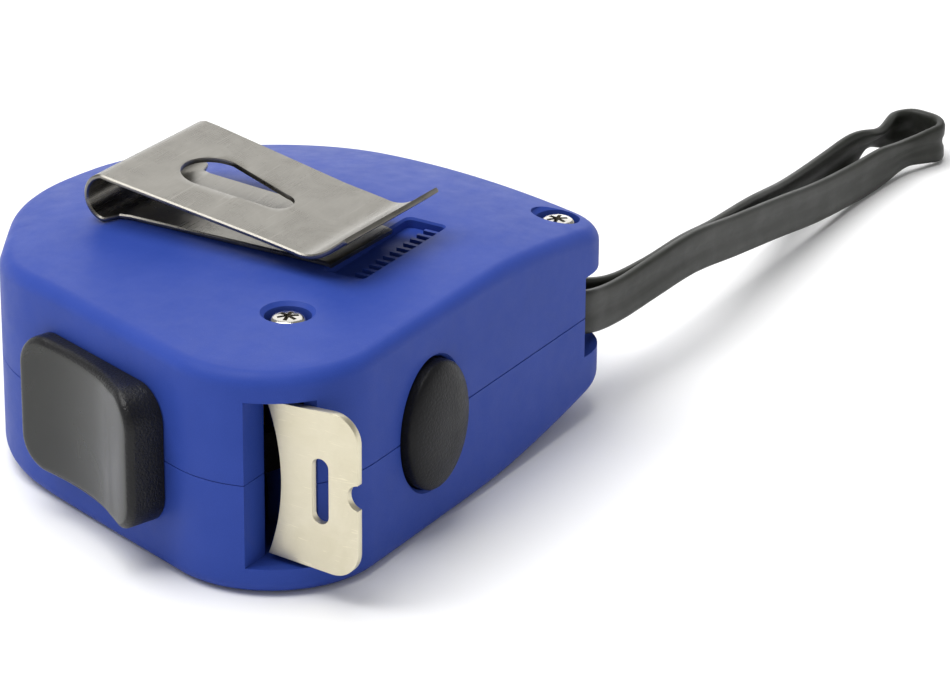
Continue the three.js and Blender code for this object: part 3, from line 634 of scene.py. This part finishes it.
def make_shell(cover):
    body = outer_solid()
    cavity = case_solid("cavity", inset_corners(OUTLINE, WALL), CASE_CENTRE, -1,
                        lambda x, y: case_height(x, y) - WALL, 1.2, 2, 14, 0.0, 4.0)
    carve(body, cavity)
    inner, top_y, low, high = (STRAP_SLOT[k] for k in ("inner", "top_y", "low", "high"))
    parts = [
        box("roof", -45, -34.2, MOUTH_TOP_Y, -11.5, -1, 20),
        box("floor", -45, -27.5, -40, MOUTH_FLOOR_Y, -1, 20),
        box("cheek", -45, -32.5, -24, -11.5, MOUTH_HALF + 0.01, 20),
        box("pocket_wall", inner - 1.2, inner, BASE_Y, top_y + 1.2, -1, 20),
        box("pocket_roof", inner - 1.2, 28, top_y, top_y + 1.2, -1, 20),
    ]
    for i, (x, y) in enumerate(SCREWS):
        r = STRAP_BOSS_R if i == 1 else BOSS_R
        parts.append(revolved("boss", [(0, -2), (r, -2), (r, 16), (0, 16)], (x, y), segments=40))
        if cover:
            foot, wide = case_height(x, y) - 4.2, RECESS_R + 1.3
            parts.append(revolved("collar", [(0, foot), (wide, foot), (wide, 16), (0, 16)], (x, y),
                                  segments=48))
    carve(body, inside_outer(parts), "UNION")
    if cover:
        wide, bore = SPINDLE_R + 1.6, SPINDLE_R + 0.1
        carve(body, revolved("socket", [(0, 9.2), (wide, 9.2), (wide, 11.9), (0, 11.9)], SPOOL,
                             segments=48), "UNION")
        carve(body, revolved("seat", [(0, 5), (bore, 5), (bore, 10.9), (0, 10.9)], SPOOL, segments=48))
        for x, y in SCREWS:
            carve(body, ring_cut(x, y, RECESS_R, case_height(x, y) - 1.9, 0.18))
            r = COVER_BORE_R
            carve(body, revolved("hole", [(0, -2), (r, -2), (r, 20), (0, 20)], (x, y), segments=32))
        carve(body, clip_pocket())
    else:
        body.data.transform(Matrix.Translation((0, 0, SHIFT[2] / 1000)) @ Matrix.Scale(-1, 4, (0, 0, 1))
                            @ Matrix.Translation((0, 0, -SHIFT[2] / 1000)))
        body.data.flip_normals()
        for x, y in SCREWS:
            tip = 2.0 - case_height(x, y)
            r = BASE_BORE_R
            carve(body, revolved("hole", [(0, tip), (r, tip), (r, 1), (0, 1)], (x, y), segments=32))
    carve(body, box("mouth_front", -60, NOSE_X, -45, MOUTH_TOP_Y, -MOUTH_HALF, MOUTH_HALF))
    carve(body, box("mouth", -60, -20, MOUTH_FLOOR_Y, MOUTH_TOP_Y, -MOUTH_HALF, MOUTH_HALF))
    start, stop, half = LOCK_SLOT.values()
    carve(body, front_box("lock_slot", start, stop + LOCK_TRAVEL, -half, half, -4, 3))
    carve(body, brake_cut())
    slot = box("slot", STRAP_SLOT["x"], 45, -45, top_y, low, high)
    carve(slot, box("slot_inner", inner, 45, BASE_Y + WALL, top_y, low, high), "UNION")
    carve(slot, revolved("slot_boss", [(0, -20), (STRAP_BOSS_R, -20), (STRAP_BOSS_R, 20), (0, 20)], STRAP_PIN,
                         segments=40))
    carve(body, slot)
    name = "cover_shell" if cover else "base_shell"
    body.name = name
    body.data.name = name
    body.data.materials.clear()
    body.data.materials.append(MAT["case"])
    shade(body, 28)
    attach(body, "case")
    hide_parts("case_cover" if cover else "case_base")
    return body


make_shell(True)
make_shell(False)


# ---------------------------------------------------------------- screws
def make_screw(i, x, y):
    seat = case_height(x, y) - 1.88
    tip = 2.3 - case_height(x, y)
    r = SCREW_HEAD_R
    profile = [(0, tip), (0.7, tip), (1.35, tip + 1.0), (1.35, seat), (r - 0.1, seat), (r, seat + 0.1),
               (r, seat + 0.62)]
    profile += [(r - 0.9 * (1 - math.cos(a)), seat + 0.62 + 0.8 * math.sin(a))
                for a in np.linspace(0.1, 1.35, 8)]
    profile += [(0.6, seat + 1.46), (0, seat + 1.5)]
    obj = revolved(f"screw_{i + 1}", profile, (x, y), segments=64, material=MAT["zinc"])
    for k in range(3):
        a = math.radians(60 * k + 15)
        c, s = math.cos(a), math.sin(a)
        plan = [(x + u * c - v * s, y + u * s + v * c)
                for u, v in ((-1.15, -0.22), (1.15, -0.22), (1.15, 0.22), (-1.15, 0.22))]
        carve(obj, prism("slot", plan, seat + 0.7, seat + 3))
    shade(obj, 30)
    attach(obj, "case")
    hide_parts(f"case_screw_{i + 1}")


for index, place in enumerate(SCREWS):
    make_screw(index, *place)


# ---------------------------------------------------------------- lock button
def thumb_height(a):
    t = (a - BUTTON["start"]) / (BUTTON["stop"] - BUTTON["start"])
    ridge = 1 / (1 + math.exp(-(t - 0.84) * 14))
    return 2.75 - 0.75 * math.sin(math.pi * min(1, t / 0.75)) + 2.0 * ridge


def make_lock_button():
    a0, a1, half, corner = (BUTTON[k] for k in ("start", "stop", "half", "corner"))
    outline = rounded([(a0, -half, corner), (a1, -half, corner), (a1, half, corner), (a0, half, corner)],
                      4, 0.7)
    rings = crowned_rings(outline, ((a0 + a1) / 2, 0), 0.15, lambda x, y: thumb_height(x), 0.9, 6, 22)
    edge_ring = 6
    obj = loft("lock_button_cap", [[on_front(*p) for p in ring] for ring in rings], MAT["black"], 40)
    obj.data.materials.append(MAT["face"])
    per_ring = len(rings[0])
    for polygon in obj.data.polygons:
        if polygon.index >= per_ring * edge_ring and polygon.index != len(obj.data.polygons) - 2:
            polygon.material_index = 1
    carve(obj, front_box("stem", 15, 21, -2.3, 2.3, -WALL - 0.35, 0.6), "UNION")
    shade(obj, 40)
    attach(obj, "lock")
    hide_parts("lock_button")


make_lock_button()


# ---------------------------------------------------------------- brake button
def make_brake_button():
    r, proud, crown = BRAKE["r"], BRAKE["proud"], BRAKE["crown"]
    face = BASE_Y - proud
    flange = BASE_Y + WALL + 0.05
    profile = [(0, face - crown)]
    for k in range(1, 15):
        a = math.pi / 2 * k / 14
        profile.append((r * math.sin(a) ** 0.82, face - crown + (crown + 0.35) * (1 - math.cos(a) ** 0.9)))
    profile += [(r, flange), (r + 0.9, flange), (r + 0.9, flange + 0.9), (0, flange + 0.9)]
    obj = revolved("brake_cap", profile, (BRAKE["x"], 0), "y", 96, BRAKE["oval"], MAT["brake"], 40)
    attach(obj, "brake")
    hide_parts("brake_button")


make_brake_button()

# ---------------------------------------------------------------- blade and hook
BLADE_R = ((BLADE_W / 2) ** 2 + BLADE_SAG ** 2) / (2 * BLADE_SAG)
BLADE_AXIS_Y = BLADE_EDGE_Y - BLADE_SAG + BLADE_R


def curved_section(low, high, half, steps=24):
    """Outline in y and z of a strip bent like the blade, between two heights over its top face."""
    a = math.asin(half / BLADE_R)
    angles = np.linspace(-a, a, steps + 1)
    bottom = [(BLADE_AXIS_Y - (BLADE_R - low) * math.cos(t), (BLADE_R - low) * math.sin(t)) for t in angles]
    top = [(BLADE_AXIS_Y - (BLADE_R - high) * math.cos(t), (BLADE_R - high) * math.sin(t)) for t in angles]
    return bottom + top[::-1]


def make_blade():
    section = curved_section(-BLADE_T, 0, BLADE_W / 2)
    xs = np.linspace(HOOK_X + HOOK_T + 0.05, BLADE_INNER_X, 40)
    obj = loft("blade_band", [[(x, y, z) for y, z in section] for x in xs], MAT["blade"], 30)
    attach(obj, "blade")
    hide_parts("blade_strip")


def make_hook():
    outline = rounded([(HOOK_LOW_Y, -HOOK_HALF, 3.0), (-15, -8.45, 0.3), (-15, 8.45, 0.3),
                       (HOOK_LOW_Y, HOOK_HALF, 3.0)], 5, 1.0)
    plate = prism("hook_plate", outline, HOOK_X, HOOK_X + HOOK_T, "x")
    slot = arc(-24.1, 2.65, 1.0, 0, math.pi, 16) + arc(-24.1, -2.65, 1.0, math.pi, 2 * math.pi, 16)
    carve(plate, prism("slot", slot, HOOK_X - 1, HOOK_X + 2, "x"))
    notch = arc(HOOK_LOW_Y - 0.2, 0.3, 1.45, 0, 2 * math.pi, 40)[1:]
    carve(plate, prism("notch", notch, HOOK_X - 1, HOOK_X + 2, "x"))
    above = curved_section(HOOK_T - 0.15, HOOK_T + 8, 14, 40)
    carve(plate, prism("above", above, HOOK_X - 1, HOOK_X + 2, "x"))
    shade(plate, 25)
    bevel = plate.modifiers.new("broken_edges", "BEVEL")
    bevel.width = 0.00011
    bevel.segments = 2
    bevel.limit_method = "ANGLE"
    bevel.angle_limit = math.radians(50)
    apply_modifiers(plate)
    tongue = prism("tongue", curved_section(0.02, HOOK_T - 0.15, 6.4, 20), HOOK_X + 0.3, -24.1, "x")
    for x, z in RIVETS:
        hole = arc(x, z, 0.95, math.pi / 2, 1.5 * math.pi, 12)
        hole += arc(x + 1.0, z, 0.95, -math.pi / 2, math.pi / 2, 12)
        carve(tongue, prism("rivet_slot", hole, -25, -10, "y"))
    carve(plate, tongue, "UNION")
    plate.name = "hook_sheet"
    plate.data.materials.clear()
    plate.data.materials.append(MAT["hook"])
    shade(plate, 28)
    flatten(plate, 0)
    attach(plate, "hook")
    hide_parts("end_hook")


make_blade()
make_hook()


# ---------------------------------------------------------------- belt clip
def clip_point(across, along, z):
    t = math.radians(CLIP["tilt"])
    return (CLIP["x"] + across * math.cos(t) - along * math.sin(t),
            CLIP["y"] - across * math.sin(t) - along * math.cos(t), z)


def smooth_line(points, spacing):
    line = centripetal([(a, b, 0.0) for a, b in points], spacing)[0]
    return [(p[0], p[1]) for p in line]


def clip_half_widths(along, upper):
    """Near and far half widths of the strip at a distance along it."""
    half = CLIP["half"]
    if upper:
        s = min(1.0, max(0.0, (along - 4) / 18))
        return half - 0.5 * s, half - 1.4 * s
    if along < 4:
        s = min(1.0, max(0.0, (along - 2.4) / 1.2))
        s = s * s * (3 - 2 * s)
        return half + (7.4 - half) * s, half + (7.4 - half) * s
    s = (along - 4) / 29
    return 7.4 - 1.8 * s, 7.4 - 1.8 * s


def make_clip():
    loop = (2.8, CLIP_SEAT_Z + CLIP["sheet"] / 2 + CLIP_LOOP_R)
    leg_z = CLIP_SEAT_Z + CLIP["sheet"] / 2
    low_z = CLIP_SEAT_Z + CLIP["sheet"] + 1.65
    leg = [(29.8, leg_z - 0.14), (29.3, leg_z - 0.05), (28.9, leg_z)]
    leg += [(28.9 - 1.28 * k, leg_z) for k in range(1, 21)]
    bend = arc(*loop, CLIP_LOOP_R, 1.5 * math.pi, 0.5 * math.pi + 0.17, 36)
    arm_end = [(27.0, low_z + 0.12), (28.4, low_z - 0.04), (29.8, low_z + 0.18), (31.4, low_z + 0.95),
               (34.0, low_z + 2.95)]
    start = bend[-1]
    run = [(start[0] + (27.0 - start[0]) * k / 40, start[1] + (low_z + 0.12 - start[1]) * k / 40)
           for k in range(1, 40)]
    tail = smooth_line([run[-2], run[-1], *arm_end], 0.35)[1:]
    line = [*leg, *bend, *run[:-1], *tail]
    count = len(line)
    split = len(leg) + 18
    h = CLIP["sheet"] / 2
    rings = []
    for i, (a, b) in enumerate(line):
        pa, pb = line[max(0, i - 1)]
        qa, qb = line[min(count - 1, i + 1)]
        length = math.hypot(qa - pa, qb - pb)
        na, nb = -(qb - pb) / length, (qa - pa) / length
        near, far = clip_half_widths(a, i > split)
        # a thin rectangle with sheared, slightly rounded edges
        c = 0.16
        ring = [(-near, -h + c), (-near, h - c), (-near + c, h)]
        ring += [(-near + c + (near + far - 2 * c) * k / 12, h) for k in range(1, 12)]
        ring += [(far - c, h), (far, h - c), (far, -h + c), (far - c, -h)]
        ring += [(far - c - (near + far - 2 * c) * k / 12, -h) for k in range(1, 12)]
        ring += [(-near + c, -h)]
        rings.append([clip_point(x, a + na * d, b + nb * d) for x, d in ring])
    obj = loft("belt_clip", rings, MAT["clip"], 35)
    hole = arc(-0.3, 10.6, 3.6, math.pi, 2 * math.pi, 28) + arc(-0.8, 19.2, 2.0, 0, math.pi, 20)
    plan = [clip_point(x, a, 0)[:2] for x, a in hole]
    carve(obj, prism("keyhole", plan, HALF + 1.6, 30))
    shade(obj, 30)
    bevel = obj.modifiers.new("broken_edges", "BEVEL")
    bevel.width = 0.00007
    bevel.segments = 2
    bevel.limit_method = "ANGLE"
    bevel.angle_limit = math.radians(60)
    apply_modifiers(obj)
    shade(obj, 35)
    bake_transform(obj)
    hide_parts("clip_base", "clip_arm")


make_clip()

# ---------------------------------------------------------------- nodes carried over
CARRIED = {
    "spindle": "inner", "blade_guide": "black", "spool": "inner", "spool_cover": "inner",
    "power_spring": "spring", "blade_coil": "blade", "hook_rivet_1": "hook", "hook_rivet_2": "hook",
    "hook_rivet_3": "hook", "lock_slider": "black", "lock_shoe": "black", "lock_detent": "spring",
    "brake_pad": "rubber", "brake_spring": "spring",
}
for node, key in CARRIED.items():
    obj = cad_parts[node]
    obj.data.materials.clear()
    obj.data.materials.append(MAT[key])


# ---------------------------------------------------------------- floor and light
def make_floor():
    n = Nodes("studio_floor")
    cloud = n.noise(6.0, 3.0)
    colour = n.mix(n.ramp(cloud, 0.3, 0.7), rgb(0.90, 0.90, 0.90), rgb(0.93, 0.93, 0.93))
    material = n.finish(colour, n.ramp(cloud, 0.3, 0.7, 0.75, 0.85), n.bump(cloud, 0.0001, 0.1))
    mesh = bpy.data.meshes.new("floor")
    size = 3.0
    corners = [(-size, -size, 0), (size, -size, 0), (size, size, 0), (-size, size, 0)]
    mesh.from_pydata(corners, [], [(0, 1, 2, 3)])
    mesh.materials.append(material)
    floor = bpy.data.objects.new("floor", mesh)
    floor.location.z = -0.00005
    scene.collection.objects.link(floor)


def area_light(name, place, target, size, power, colour=(1, 1, 1)):
    data = bpy.data.lights.new(name, "AREA")
    data.shape = "DISK"
    data.size = size
    data.energy = power
    data.color = colour
    obj = bpy.data.objects.new(name, data)
    obj.location = place
    obj.rotation_euler = (Vector(target) - Vector(place)).to_track_quat("-Z", "Y").to_euler()
    scene.collection.objects.link(obj)


def make_world():
    world = bpy.data.worlds.new("studio")
    world.use_nodes = True
    tree = world.node_tree
    background = tree.nodes["Background"]
    background.inputs["Color"].default_value = (1.0, 1.0, 1.0, 1.0)
    # a white horizon under a dimmer sky
    coords = tree.nodes.new("ShaderNodeTexCoord")
    split = tree.nodes.new("ShaderNodeSeparateXYZ")
    sky = tree.nodes.new("ShaderNodeMapRange")
    sky.inputs["From Min"].default_value = 0.14
    sky.inputs["From Max"].default_value = 0.34
    sky.inputs["To Min"].default_value = 1.0
    sky.inputs["To Max"].default_value = 0.34
    tree.links.new(coords.outputs["Generated"], split.inputs[0])
    tree.links.new(split.outputs[2], sky.inputs["Value"])
    tree.links.new(sky.outputs[0], background.inputs["Strength"])
    scene.world = world


make_floor()
make_world()
area_light("overhead", (-0.25, 0.55, 2.3), (0, 0, 0), 2.2, 60.0)
area_light("back_panel", (1.25, 0.75, 0.75), (0, 0, 0.02), 1.4, 6.0)
area_light("left_panel", (-0.85, 0.9, 1.4), (0, 0, 0.02), 0.8, 5.0)
scene.view_settings.view_transform = "Standard"
